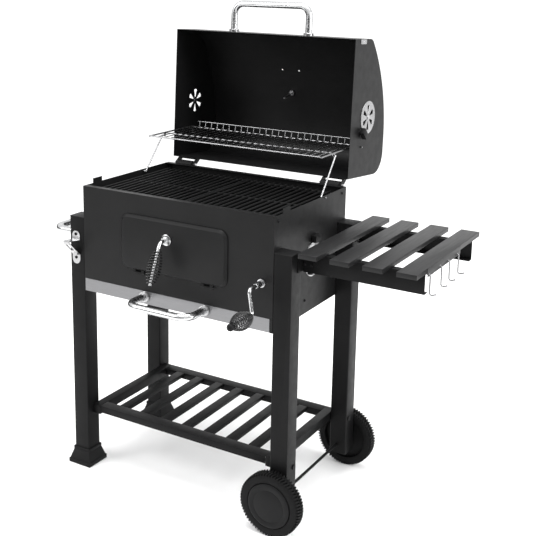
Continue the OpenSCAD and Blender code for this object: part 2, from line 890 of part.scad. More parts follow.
// Spindle-shaped grip that spins on the crank's end
module crank_grip() {
    n = 16;
    inner = rod_r + running;
    color(black) placed() at_crank()
        translate([0, -crank_front - grip_len + 1, -crank_arm]) rotate([-90, 0, 0])
            rotate_extrude($fn = 64)
                polygon(concat([[inner, 0]],
                    [for (i = [0:n]) [inner + 3 + (grip_r - inner - 3)
                        * pow(sin(180 * (0.06 + 0.88 * i / n)), 0.9), (grip_len - 13) * i / n]],
                    [[inner, grip_len - 13]]));
}

// Bushes that carry the crank shaft in the front wall and on the back wall
module crank_bushes() {
    color(steel) placed() {
        difference() {
            union() {
                rod_y(crank_x, -4, 0, crank_z, 11);
                rod_y(crank_x, 0, sheet + 5, crank_z, 8);
            }
            rod_y(crank_x, -20, 20, crank_z, rod_r + running);
        }
        difference() {
            union() {
                block([crank_x - 12, 340, crank_z - 12], [crank_x + 12, 344, crank_z + 12]);
                block([crank_x - 12, 340, crank_z - 16], [box_w - sheet, 344, crank_z - 8]);
                block([box_w - sheet - 3, 330, crank_z - 16],
                    [box_w - sheet, 354, crank_z + 16]);
            }
            rod_y(crank_x, 330, 360, crank_z, rod_r + running);
        }
    }
}

// ---------- fire door ----------

module fire_door() {
    color(dark) placed() difference() {
        union() {
            hull() {
                for (x = [door_x[0] + door_corner, door_x[1] - door_corner],
                    z = [door_z[0] + door_corner, door_z[1] - door_corner]) {
                    rod_y(x, -2.5, -1, z, door_corner, 64);
                    rod_y(x, -door_t - 1, -door_t, z, door_corner - 7, 64);
                }
            }
            for (c = door_hinge_xs, s = [-1, 1])
                hull() {
                    rod_x(c + s * 14 - 5, c + s * 14 + 5, door_axis[0], door_axis[1],
                        door_knuckle_r);
                    block([c + s * 14 - 5, -6, door_z[0] + 2], [c + s * 14 + 5, -3, door_z[0] + 3]);
                }
        }
        for (c = door_hinge_xs)
            rod_x(c - 30, c + 30, door_axis[0], door_axis[1], door_pin_r + running);
        block([door_x[0] + 16, -door_t + 1, door_z[0] + 14],
            [door_x[1] - 16, 0, door_z[1] - 14]);
        rod_y(door_grip_x, -20, 0, door_grip_z, rod_r + running);
    }
}

module door_hinges() {
    color(black) placed()
        for (c = door_hinge_xs)
            difference() {
                union() {
                    rod_x(c - 8.5, c + 8.5, door_axis[0], door_axis[1], door_knuckle_r);
                    block([c - 8.5, -0.8, door_axis[1] - 2.6], [c + 8.5, 0, door_axis[1] + 15]);
                    block([c - 8.5, door_axis[0], door_axis[1] - 2.6],
                        [c + 8.5, 0, door_axis[1] - 1.4]);
                }
                rod_x(c - 30, c + 30, door_axis[0], door_axis[1], door_pin_r);
            }
}

module door_hinge_pins() {
    color(steel) placed()
        for (c = door_hinge_xs)
            rod_x(c - 19, c + 19, door_axis[0], door_axis[1], door_pin_r);
}

// Handle of bent rod with a coiled-wire grip, leaning away from the door
module door_handle() {
    root = [door_grip_x, -33, door_grip_z];
    top = [door_grip_x, -44, door_grip_z - 14];
    tip = [door_grip_x, -82, 623];
    lean = tip - top;
    n = 16;
    face = -door_t - 1.3;
    color(chrome) placed() {
        rod_y(door_grip_x, face - 3, face, door_grip_z, 15);
        rod_y(door_grip_x, face - 10, face - 3, door_grip_z, 9, 6);
        rod_y(door_grip_x, -6.7, -2.5, door_grip_z, 9, 6);
        rod_y(door_grip_x, root[1], -2.5, door_grip_z, rod_r);
        translate(root) sphere(r = rod_r + 0.2, $fn = 32);
        rod(root, top, rod_r);
        translate(top) sphere(r = rod_r + 0.2, $fn = 32);
        rod(top, tip, rod_r - 1);
    }
    color(black) placed()
        translate(top + lean * 0.05) rotate([0, acos(lean[2] / norm(lean)), -90])
            rotate_extrude($fn = 64)
                polygon(concat([[0, 0]],
                    [for (i = [0:n]) [7 + (door_coil_r - 7)
                        * pow(sin(180 * (0.04 + 0.92 * i / n)), 0.9), norm(lean) * 0.92 * i / n]],
                    [[0, norm(lean) * 0.92]]));
}

// ---------- ash drawer ----------

module ash_drawer() {
    z = box_bottom + 1.8;
    color(steel) placed() difference() {
        block([drawer_x[0] + 3, sheet, z], [drawer_x[1] - 3, drawer_depth, z + drawer_h]);
        block([drawer_x[0] + 4.2, sheet + 1.2, z + 1.2],
            [drawer_x[1] - 4.2, drawer_depth - 1.2, z + drawer_h + 1]);
    }
}

module drawer_front() {
    color(steel) placed()
        block([drawer_x[0], 0, box_bottom + 0.5],
            [drawer_x[1], sheet, box_bottom + trim_h - 0.7]);
}

module drawer_handle() {
    color(chrome) placed()
        translate([(drawer_post_xs[0] + drawer_post_xs[1]) / 2, 0, box_bottom + trim_h - 16])
            tube_handle(drawer_post_xs[1] - drawer_post_xs[0], drawer_handle_out, 34);
}

// ---------- side table ----------

module table_rails() {
    color(dark) placed()
        for (k = [0, 1]) {
            y = rail_y[k];
            difference() {
                block([box_w + leg + 3.2, y, table_top - slat_t - rail_h],
                    [rail_end - 1.2, y + rail_w, table_top - slat_t]);
                block([box_w + leg, y + (k == 0 ? 2 : -1), table_top - slat_t - rail_h + 2],
                    [rail_end, y + rail_w + (k == 0 ? 1 : -2), table_top - slat_t - 2]);
            }
        }
}

module table_slats() {
    color(dark) placed() {
        for (k = [0:3])
            translate([table_x + k * slat_pitch, 0, 0])
                block([0, 0, table_top - slat_t], [slat_w, table_d, table_top]);
        difference() {
            block([rail_end - 1, 66, table_top - slat_t - 10],
                [rail_end, 290, table_top]);
            for (y = hook_ys)
                rod_x(rail_end - 3, rail_end + 2, y, table_top - slat_t - 4, 1.6, 24);
        }
    }
}

// Angle brackets between the table rails and the legs
module table_brackets() {
    z0 = table_top - slat_t - rail_h + 3;
    z1 = table_top - slat_t - 4;
    color(black) placed() {
        block([box_w + leg, 30, z0], [box_w + leg + 3, rail_y[0] + 2, z1]);
        block([box_w + leg, rail_y[0] + 2, z0], [box_w + leg + 34, rail_y[0] + 5, z1]);
        block([box_w + leg, 360, z0], [box_w + leg + 3, rail_y[1] + rail_w - 2, z1]);
        block([box_w + leg + 3, rail_y[1] + rail_w - 5, z0],
            [box_w + leg + 34, rail_y[1] + rail_w - 2, z1]);
    }
}

module table_bolts() {
    z = table_top - slat_t - rail_h;
    color(chrome) placed() {
        for (x = [box_w + leg + 7, box_w + leg + 26])
            translate([x, rail_y[0], z + 20]) screw_head(3.5, 2);
        for (x = [box_w + leg + 7, box_w + leg + 26])
            translate([x, rail_y[1] + rail_w + 2, z + 20]) screw_head(3.5, 2);
        for (y = rail_y)
            translate([box_w + leg + 18, y + rail_w / 2, z - 6])
                cylinder(h = 6, r = 7, $fn = 24);
    }
}

// Wire hooks for tools, each through a hole in the outer slat's edge strip
module tool_hooks() {
    z = table_top - slat_t - 4;
    color(chrome) placed()
        for (y = hook_ys) {
            rod_x(rail_end - 10, rail_end + 4, y, z, 1.5, 16);
            translate([rail_end + 4, y, z]) sphere(r = 1.6, $fn = 16);
            rod([rail_end + 4, y, z], [rail_end + 4, y, z - 52], 1.5, 16);
            translate([rail_end + 4, y, z - 52]) sphere(r = 1.6, $fn = 16);
            rod([rail_end + 4, y, z - 52], [rail_end + hook_reach, y, z - 44], 1.5, 16);
            translate([rail_end + hook_reach, y, z - 44]) sphere(r = 1.6, $fn = 16);
        }
}

// ---------- cart fittings ----------

module push_handle() {
    color(chrome) placed()
        translate([-leg, (push_ys[0] + push_ys[1]) / 2, push_z]) rotate([0, 0, -90])
            tube_handle(push_ys[1] - push_ys[0], push_out, 30);
}

// Bottle opener: a strip bent out from the leg and back again
module bottle_opener() {
    w = 27;
    t = 2.5;
    x0 = -41;
    color(chrome) placed() difference() {
        translate([x0, 0, 0]) rotate([90, 0, 90]) linear_extrude(w)
            polygon([[0, 702], [-t, 702], [-t, 676], [-44, 683], [-46, 680], [-t, 638],
                [-t, 608], [0, 608], [0, 636], [-40, 678.5], [-40, 679], [0, 672.5]]);
        block([x0 + 8, -36, 640], [x0 + w - 8, -14, 668]);
    }
}

module cart_screws() {
    color(steel) placed() {
        for (z = [693, 626])
            translate([-27.5, -2.5, z]) screw_head(4.5, 2.5);
        for (x = [-leg / 2, box_w + leg / 2], z = [600, 700])
            translate([x, box_d + 2.5, z]) screw_head(4.5, 2.5);
    }
}

legs();
leg_caps();
feet();
axle();
axle_nuts();
wheel_front();
wheel_rear();
hubcap_front();
hubcap_rear();
shelf_frame();
shelf_slats();
shelf_bolts();
box_front();
box_back();
box_left();
box_right();
drawer_runners();
box_screws();
lid_shell();
lid_ends();
lid_handle();
thermometer();
lid_hinge_leaves();
box_hinge_leaves();
lid_hinge_pins();
vent_disc_lid_left();
vent_disc_lid_right();
vent_disc_box_left();
vent_disc_box_right();
vent_pins_lid();
vent_pins_box();
warming_rack();
rack_legs();
cooking_grate_left();
cooking_grate_right();
grate_ledges();
charcoal_pan();
charcoal_grate();
pan_guides();
lift_racks();
lift_pinions();
crank_rod();
crank_grip();
crank_bushes();
fire_door();
door_hinges();
door_hinge_pins();
door_handle();
ash_drawer();
drawer_front();
drawer_handle();
table_rails();
table_slats();
table_brackets();
table_bolts();
tool_hooks();
push_handle();
bottle_opener();
cart_screws();
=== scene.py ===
"""Barrel charcoal grill on a cart: materials, detailed pieces, studio and camera."""
import math

import bmesh
import bpy
from mathutils import Matrix, Vector


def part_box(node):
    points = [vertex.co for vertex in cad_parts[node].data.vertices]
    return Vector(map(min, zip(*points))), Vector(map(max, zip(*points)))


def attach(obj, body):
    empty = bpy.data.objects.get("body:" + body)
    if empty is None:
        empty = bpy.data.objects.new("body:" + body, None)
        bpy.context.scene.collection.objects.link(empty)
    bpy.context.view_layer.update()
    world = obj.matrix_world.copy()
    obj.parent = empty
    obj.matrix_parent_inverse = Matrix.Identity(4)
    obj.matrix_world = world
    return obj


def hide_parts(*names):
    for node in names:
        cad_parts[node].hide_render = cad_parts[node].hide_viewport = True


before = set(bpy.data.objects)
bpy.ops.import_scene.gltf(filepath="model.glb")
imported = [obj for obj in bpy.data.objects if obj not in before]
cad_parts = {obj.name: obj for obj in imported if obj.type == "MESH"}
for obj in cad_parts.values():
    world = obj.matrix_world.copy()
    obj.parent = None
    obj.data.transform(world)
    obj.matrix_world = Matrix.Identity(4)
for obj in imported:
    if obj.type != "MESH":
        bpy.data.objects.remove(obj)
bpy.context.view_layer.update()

# ---------------------------------------------------------------- places
# Grill coordinates are in millimetres from the firebox's front left corner, on the floor.
CORNER = Vector((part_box("box_left")[0].x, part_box("box_left")[0].y, 0))
BOX_W, BOX_D, BOX_TOP = 600, 400, 833
LEG = 50
HINGE_Y, HINGE_Z = BOX_D + 14, BOX_TOP - 3
LID_BACK, LID_RIM, LID_X, LID_W = BOX_D - 5, BOX_TOP + 1, 5, 590
LID_D, LID_H = 386, 232
LID_OPEN = math.radians(93)
LID_TOP_R, LID_TOP_A = 426, 90      # radius of the curved top, and how far forward its centre is
HINGE_XS = (53, BOX_W - 53)
AXLE_X, WHEEL_R, WHEEL_W, WHEEL_GAP = BOX_W + 20, 86, 36, 3
TABLE_TOP, TABLE_X, SLAT_PITCH, SLAT_T = 752, BOX_W + 66, 84.5, 12
RAIL_END = TABLE_X + 3 * SLAT_PITCH + LEG + 1
HOOK_YS = (73, 148, 203, 267)
TUBE_R = 10                         # handle tubes
ROD_R = 5                           # crank and fire door handle
ROD_BORE = ROD_R + 0.05
CRANK_X, CRANK_Z, CRANK_ARM, CRANK_FRONT, GRIP_LEN = 567, 660, 63, 60, 92
CRANK_LEAN = math.radians(10)
BALL_R = 9.5
DOOR_X, DOOR_Z = 285, 727           # where the fire door's handle goes through the door
GAUGE_X, GAUGE_A = 293, 207         # thermometer on the lid


def at(x, y, z):
    """Grill coordinates in millimetres to the frame, in metres."""
    return CORNER + Vector((x, y, z)) / 1000


# Closed-lid coordinates to the open lid, in millimetres
OPENED = (Matrix.Translation((0, HINGE_Y, HINGE_Z)) @ Matrix.Rotation(-LID_OPEN, 4, "X")
          @ Matrix.Translation((0, -HINGE_Y, -HINGE_Z)))


def lid_at(x, a, b):
    """Lid coordinates (a forward from the rear rim, b up from the rim) when it is open."""
    return at(*(OPENED @ Vector((x, LID_BACK - a, LID_RIM + b))))


# ---------------------------------------------------------------- node helpers
def material(name):
    mat = bpy.data.materials.new(name)
    mat.use_nodes = True
    shader = mat.node_tree.nodes["Principled BSDF"]
    return mat, mat.node_tree, shader


def add(tree, kind, **values):
    node = tree.nodes.new(kind)
    for key, value in values.items():
        if key in node.inputs:
            node.inputs[key].default_value = value
        else:
            setattr(node, key, value)
    return node


def coordinates(tree, scale=(1, 1, 1)):
    place = add(tree, "ShaderNodeTexCoord")
    mapping = add(tree, "ShaderNodeMapping")
    mapping.inputs["Scale"].default_value = scale
    tree.links.new(place.outputs["Object"], mapping.inputs["Vector"])
    return mapping.outputs["Vector"]


def noise(tree, vector, scale, detail=4.0, rough=0.55):
    node = add(tree, "ShaderNodeTexNoise", Scale=scale, Detail=detail, Roughness=rough)
    tree.links.new(vector, node.inputs["Vector"])
    return node.outputs["Fac"]


def spread(tree, value, low, high, start=0.3, stop=0.7):
    node = add(tree, "ShaderNodeMapRange")
    node.inputs["From Min"].default_value = start
    node.inputs["From Max"].default_value = stop
    node.inputs["To Min"].default_value = low
    node.inputs["To Max"].default_value = high
    tree.links.new(value, node.inputs["Value"])
    return node.outputs["Result"]


def tint(tree, value, dark, light):
    ramp = add(tree, "ShaderNodeValToRGB")
    ramp.color_ramp.elements[0].position = 0.3
    ramp.color_ramp.elements[1].position = 0.72
    ramp.color_ramp.elements[0].color = (*dark, 1)
    ramp.color_ramp.elements[1].color = (*light, 1)
    tree.links.new(value, ramp.inputs["Fac"])
    return ramp.outputs["Color"]


def bump(tree, shader, height, strength, distance):
    node = add(tree, "ShaderNodeBump")
    node.inputs["Strength"].default_value = strength
    node.inputs["Distance"].default_value = distance
    tree.links.new(height, node.inputs["Height"])
    tree.links.new(node.outputs["Normal"], shader.inputs["Normal"])


# ---------------------------------------------------------------- materials
def coated_steel(name, dark, light, rough, grain=900, depth=0.00008, specular=0.5):
    """Powder coat or enamel: fine orange peel, with faint cloudy tone and dust."""
    mat, tree, shader = material(name)
    space = coordinates(tree)
    cloud = noise(tree, space, 9, 6, 0.6)
    tree.links.new(tint(tree, cloud, dark, light), shader.inputs["Base Color"])
    tree.links.new(spread(tree, noise(tree, space, 40, 3), rough - 0.05, rough + 0.06),
                   shader.inputs["Roughness"])
    shader.inputs["Specular IOR Level"].default_value = specular
    bump(tree, shader, noise(tree, space, grain, 2, 0.5), 0.35, depth)
    return mat


def polished_chrome(name, tone=(0.54, 0.545, 0.55), rough=0.2):
    """Bright plating: nearly even, with soft haze and hairline polishing marks."""
    mat, tree, shader = material(name)
    space = coordinates(tree)
    shader.inputs["Metallic"].default_value = 1.0
    haze = noise(tree, space, 60, 5)
    tree.links.new(tint(tree, haze, tuple(0.93 * t for t in tone), tone),
                   shader.inputs["Base Color"])
    tree.links.new(spread(tree, noise(tree, space, 220, 4), rough * 0.6, rough * 1.7),
                   shader.inputs["Roughness"])
    bump(tree, shader, noise(tree, space, 1400, 2), 0.06, 0.00003)
    return mat


def brushed_steel(name, direction, dark=(0.36, 0.36, 0.37), light=(0.52, 0.52, 0.53),
                  rough=0.36):
    """Steel with long hair-fine marks along one direction (0, 1 or 2 for X, Y or Z)."""
    mat, tree, shader = material(name)
    scale = [90.0, 90.0, 90.0]
    scale[direction] = 1.2
    lines = noise(tree, coordinates(tree, scale), 28, 6, 0.7)
    shader.inputs["Metallic"].default_value = 1.0
    tree.links.new(tint(tree, lines, dark, light), shader.inputs["Base Color"])
    tree.links.new(spread(tree, lines, rough - 0.1, rough + 0.12), shader.inputs["Roughness"])
    bump(tree, shader, lines, 0.12, 0.00004)
    return mat


def plain_zinc(name):
    """Plated fasteners: soft grey spangle."""
    mat, tree, shader = material(name)
    space = coordinates(tree)
    shader.inputs["Metallic"].default_value = 1.0
    cells = add(tree, "ShaderNodeTexVoronoi", Scale=320.0)
    tree.links.new(space, cells.inputs["Vector"])
    tree.links.new(tint(tree, cells.outputs["Distance"], (0.42, 0.42, 0.43),
                        (0.62, 0.62, 0.63)), shader.inputs["Base Color"])
    tree.links.new(spread(tree, noise(tree, space, 500, 3), 0.26, 0.44),
                   shader.inputs["Roughness"])
    return mat


def moulded_plastic(name, dark, light, rough):
    """Moulded plastic: spark-eroded grain and slightly worn sheen."""
    mat, tree, shader = material(name)
    shader.inputs["Specular IOR Level"].default_value = 0.1
    space = coordinates(tree)
    tree.links.new(tint(tree, noise(tree, space, 14, 5), dark, light),
                   shader.inputs["Base Color"])
    tree.links.new(spread(tree, noise(tree, space, 70, 4), rough - 0.07, rough + 0.08),
                   shader.inputs["Roughness"])
    grain = add(tree, "ShaderNodeTexVoronoi", Scale=1500.0)
    tree.links.new(space, grain.inputs["Vector"])
    bump(tree, shader, grain.outputs["Distance"], 0.25, 0.00008)
    return mat


def painted_wood(name):
    """Black painted slats: grain along Y shows faintly through the paint."""
    mat, tree, shader = material(name)
    grain = noise(tree, coordinates(tree, (60, 3.2, 60)), 5, 8, 0.62)
    shader.inputs["Specular IOR Level"].default_value = 0.25
    tree.links.new(tint(tree, grain, (0.006, 0.006, 0.0063), (0.011, 0.011, 0.0114)),
                   shader.inputs["Base Color"])
    tree.links.new(spread(tree, grain, 0.36, 0.5), shader.inputs["Roughness"])
    bump(tree, shader, grain, 0.25, 0.00022)
    return mat


def dial_face(name):
    """White dial plate, faintly mottled. Its ticks are a piece of their own."""
    mat, tree, shader = material(name)
    space = coordinates(tree)
    tree.links.new(tint(tree, noise(tree, space, 300, 2), (0.70, 0.70, 0.69),
                        (0.78, 0.78, 0.77)), shader.inputs["Base Color"])
    tree.links.new(spread(tree, noise(tree, space, 90, 3), 0.38, 0.52),
                   shader.inputs["Roughness"])
    return mat


def burnt_steel(name):
    """Inside pan and charcoal grate: enamel with a greyish bloom."""
    mat, tree, shader = material(name)
    space = coordinates(tree)
    patch = noise(tree, space, 12, 8, 0.65)
    tree.links.new(tint(tree, patch, (0.010, 0.010, 0.010), (0.022, 0.021, 0.020)),
                   shader.inputs["Base Color"])
    tree.links.new(spread(tree, patch, 0.45, 0.65), shader.inputs["Roughness"])
    bump(tree, shader, noise(tree, space, 420, 4), 0.4, 0.0002)
    return mat


ENAMEL = coated_steel("black_enamel", (0.0055, 0.0055, 0.0057), (0.0078, 0.0078, 0.008), 0.42,
                      specular=0.16)
POWDER = coated_steel("black_powder_coat", (0.0038, 0.0038, 0.004), (0.0056, 0.0056, 0.0058),
                      0.46, grain=1100, depth=0.0001, specular=0.11)
CHROME = polished_chrome("chrome_tube")
WIRE = polished_chrome("chrome_wire", (0.30, 0.30, 0.305), 0.24)
TRIM = brushed_steel("brushed_drawer_steel", 0, (0.17, 0.17, 0.175), (0.25, 0.25, 0.255))
VENT_STEEL = brushed_steel("vent_steel", 1, (0.34, 0.34, 0.345), (0.50, 0.50, 0.505), 0.3)
ZINC = plain_zinc("zinc_plated_steel")
CAP = moulded_plastic("cap_plastic", (0.006, 0.006, 0.0063), (0.009, 0.009, 0.0093), 0.45)
TYRE = moulded_plastic("wheel_plastic", (0.0035, 0.0035, 0.0037), (0.0055, 0.0055, 0.0057), 0.55)
SLAT = painted_wood("painted_slats")
DIAL = dial_face("dial_white")
MARK = moulded_plastic("dial_marks", (0.02, 0.02, 0.02), (0.03, 0.03, 0.03), 0.5)
NEEDLE = moulded_plastic("needle_red", (0.45, 0.02, 0.015), (0.55, 0.03, 0.02), 0.4)
BURNT = burnt_steel("pan_enamel")
TRIM_RING = brushed_steel("collar_steel", 0, (0.34, 0.34, 0.345), (0.46, 0.46, 0.465), 0.24)
COIL = coated_steel("black_coil_wire", (0.004, 0.004, 0.0042), (0.007, 0.007, 0.0072), 0.22,
                    specular=0.45)


# ---------------------------------------------------------------- mesh helpers
def finish_mesh(name, mesh, mat, body, nodes=(), smooth=True, angle=35):
    obj = bpy.data.objects.new(name, mesh)
    bpy.context.scene.collection.objects.link(obj)
    mesh.materials.clear()
    mesh.materials.append(mat)
    if smooth:
        mesh.shade_smooth()
        mesh.set_sharp_from_angle(angle=math.radians(angle))
    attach(obj, body)
    if nodes:
        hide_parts(*nodes)
    return obj


class Builder:
    """Collects vertices and faces, in metres, for one piece."""

    def __init__(self):
        self.verts, self.faces = [], []

    def grid(self, rings, closed_ring=True, caps=True, closed_path=False):
        """Skin a list of rings of points."""
        n = len(rings[0])
        base = len(self.verts)
        for ring in rings:
            self.verts += [Vector(p) for p in ring]
        count = len(rings)
        for i in range(count if closed_path else count - 1):
            j = (i + 1) % count
            for k in range(n if closed_ring else n - 1):
                m = (k + 1) % n
                self.faces.append((base + i * n + k, base + i * n + m,
                                   base + j * n + m, base + j * n + k))
        if caps and not closed_path:
            self.faces.append(tuple(base + k for k in reversed(range(n))))
            self.faces.append(tuple(base + (count - 1) * n + k for k in range(n)))
        return self

    def sweep(self, path, radius, sides=14, closed=False, caps=True):
        """Round tube along a path of points in metres; radius in millimetres."""
        path = [Vector(p) for p in path]
        count = len(path)
        radii = radius if isinstance(radius, list) else [radius] * count
        normal = None
        rings = []
        for i, p in enumerate(path):
            before = path[i - 1] if (i or closed) else path[i]
            after = path[(i + 1) % count] if (i < count - 1 or closed) else path[i]
            t = (after - before).normalized()
            if normal is None:
                side = Vector((0, 0, 1)) if abs(t.z) < 0.9 else Vector((1, 0, 0))
                normal = side.cross(t).normalized()
            normal = (normal - t * normal.dot(t)).normalized()
            binormal = t.cross(normal)
            r = radii[i] / 1000
            rings.append([p + r * (math.cos(a) * normal + math.sin(a) * binormal)
                          for a in (2 * math.pi * k / sides for k in range(sides))])
        return self.grid(rings, caps=caps, closed_path=closed)

    def lathe(self, centre, axis, profile, sides=64, wobble=None):
        """Turn a profile of (radius, along) in millimetres about an axis through centre."""
        axis = Vector(axis).normalized()
        side = Vector((0, 0, 1)) if abs(axis.z) < 0.9 else Vector((1, 0, 0))
        u = side.cross(axis).normalized()
        v = axis.cross(u)
        rings = []
        for k in range(sides):
            a = 2 * math.pi * k / sides
            ring = []
            for r, h in profile:
                rr = r if wobble is None else wobble(r, h, a)
                ring.append(centre + (rr / 1000) * (math.cos(a) * u + math.sin(a) * v)
                            + (h / 1000) * axis)
            rings.append(ring)
        return self.grid(rings, closed_ring=True, caps=False, closed_path=True)

    def take(self, bm):
        """Add a bmesh's vertices and faces, and free it."""
        base = len(self.verts)
        bm.verts.ensure_lookup_table()
        for v in bm.verts:
            self.verts.append(v.co.copy())
        for f in bm.faces:
            self.faces.append(tuple(base + v.index for v in f.verts))
        bm.free()
        return self

    def extrude(self, outline, place, depth_vector, bevel=0.0, segments=2):
        """Solid from a flat outline; place() turns (u, v) into a point in metres."""
        bm = bmesh.new()
        bottom = [bm.verts.new(place(u, v)) for u, v in outline]
        top = [bm.verts.new(p.co + depth_vector) for p in bottom]
        n = len(outline)
        bm.faces.new(list(reversed(bottom)))
        bm.faces.new(top)
        for k in range(n):
            bm.faces.new((bottom[k], bottom[(k + 1) % n], top[(k + 1) % n], top[k]))
        bmesh.ops.recalc_face_normals(bm, faces=bm.faces)
        if bevel:
            edges = [e for e in bm.edges if e.calc_face_angle(0) > math.radians(40)]
            bmesh.ops.bevel(bm, geom=edges, offset=bevel / 1000, segments=segments,
                            profile=0.5, affect="EDGES", clamp_overlap=True)
        self.take(bm)
        return self

    def make(self, name, mat, body, nodes=(), smooth=True, angle=35, recalc=True):
        mesh = bpy.data.meshes.new(name)
        mesh.from_pydata([tuple(v) for v in self.verts], [], self.faces)
        if recalc:
            bm = bmesh.new()
            bm.from_mesh(mesh)
            bmesh.ops.recalc_face_normals(bm, faces=bm.faces)
            bm.to_mesh(mesh)
            bm.free()
        return finish_mesh(name, mesh, mat, body, nodes, smooth, angle)


def rounded_path(points, radius, steps=8):
    """Polyline with each inner corner turned into an arc; points in metres, radius in mm."""
    points = [Vector(p) for p in points]
    out = [points[0]]
    for i in range(1, len(points) - 1):
        a = (points[i - 1] - points[i]).normalized()
        b = (points[i + 1] - points[i]).normalized()
        half = a.angle(b) / 2
        reach = min(radius / 1000 / math.tan(half), 0.49 * (points[i - 1] - points[i]).length,
                    0.49 * (points[i + 1] - points[i]).length)
        r = reach * math.tan(half)
        centre = points[i] + (a + b).normalized() * (r / math.sin(half))
        start, stop = points[i] + a * reach - centre, points[i] + b * reach - centre
        for k in range(steps + 1):
            out.append(centre + start.normalized().slerp(stop.normalized(), k / steps)
                       * start.length)
    out.append(points[-1])
    return out


def helix(start, end, turns, radius, per_turn=14):
    """Points of a coil round the line from start to end; radius in mm or a function of t."""
    axis = (end - start).normalized()
    side = Vector((1, 0, 0)) if abs(axis.x) < 0.9 else Vector((0, 1, 0))
    u = side.cross(axis).normalized()
    v = axis.cross(u)
    count = int(turns * per_turn)
    out = []
    for i in range(count + 1):
        t = i / count
        r = (radius(t) if callable(radius) else radius) / 1000
        a = 2 * math.pi * turns * t
        out.append(start + (end - start) * t + r * (math.cos(a) * u + math.sin(a) * v))
    return out


def softened(node, mat, body, width, shortest=0.0, segments=2, name=None):
    """Copy of a CAD node with its sharp outer edges rounded by width millimetres."""
    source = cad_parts[node]
    bm = bmesh.new()
    bm.from_mesh(source.data)
    bmesh.ops.remove_doubles(bm, verts=bm.verts, dist=1e-6)
    bmesh.ops.dissolve_limit(bm, angle_limit=math.radians(1.0), verts=bm.verts, edges=bm.edges)
    edges = [e for e in bm.edges if len(e.link_faces) == 2 and e.is_convex
             and e.calc_face_angle(0) > math.radians(35) and e.calc_length() > shortest / 1000]
    bmesh.ops.bevel(bm, geom=edges, offset=width / 1000, segments=segments, profile=0.5,
                    affect="EDGES", clamp_overlap=True)
    mesh = bpy.data.meshes.new(name or node + "_soft")
    bm.to_mesh(mesh)
    bm.free()
    return finish_mesh(name or node + "_soft", mesh, mat, body, (node,))


def coat(node, mat):
    """Give a CAD node that keeps its shape its material."""
    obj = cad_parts[node]
    if not obj.material_slots:
        obj.data.materials.append(mat)
    for slot in obj.material_slots:
        slot.material = mat


# CAD nodes that keep their exact shape
for node, mat in {
    "box_left": ENAMEL, "box_right": ENAMEL, "box_back": ENAMEL, "drawer_runners": ENAMEL,
    "grate_ledges": ENAMEL,
    "lid_hinge_pins": ZINC, "vent_pins_lid": ZINC, "vent_pins_box": ZINC,
    "warming_rack": WIRE, "rack_legs": WIRE, "cooking_grate_left": ENAMEL,
    "cooking_grate_right": ENAMEL, "charcoal_pan": BURNT, "charcoal_grate": BURNT,
    "pan_guides": ENAMEL, "lift_racks": ZINC, "lift_pinions": ZINC,
    "crank_bushes": ZINC, "door_hinges": POWDER, "door_hinge_pins": ZINC,
    "ash_drawer": ZINC, "drawer_front": TRIM, "axle": POWDER, "axle_nuts": ZINC,
    "table_brackets": POWDER, "thermometer": VENT_STEEL, "table_bolts": CAP,
    "shelf_bolts": CAP, "lid_shell": ENAMEL, "lid_ends": ENAMEL, "box_front": ENAMEL,
}.items():
    coat(node, mat)

# Tubes, slats and feet: the CAD shape with its edges rounded
softened("legs", POWDER, "cart", 3.0, shortest=300, segments=4)
softened("leg_caps", CAP, "cart", 1.6, shortest=30, segments=3)
softened("feet", CAP, "cart", 2.0, shortest=20, segments=3)
softened("shelf_frame", POWDER, "cart", 1.5, shortest=15)
softened("shelf_slats", POWDER, "cart", 1.8, shortest=8)
softened("table_rails", POWDER, "cart", 1.2, shortest=15)
softened("table_slats", SLAT, "cart", 1.8, shortest=9, segments=3)
softened("lid_hinge_leaves", POWDER, "lid", 0.9, shortest=2)
softened("box_hinge_leaves", POWDER, "cart", 0.9, shortest=2)
sleeves = Builder()
for c in HINGE_XS:
    sleeves.lathe(at(c, HINGE_Y, HINGE_Z), (1, 0, 0), [
        (3.1, -27), (11, -27), (12, -26), (12, -9.5), (11.3, -9), (11.3, -8.5), (12, -8),
        (12, 8), (11.3, 8.5), (11.3, 9), (12, 9.5), (12, 26), (11, 27), (3.1, 27)], sides=48)
sleeves.make("hinge_sleeves", POWDER, "cart", ("box_hinge_leaves",), angle=30)
softened("fire_door", ENAMEL, "fire_door", 0.8, shortest=1, segments=3)


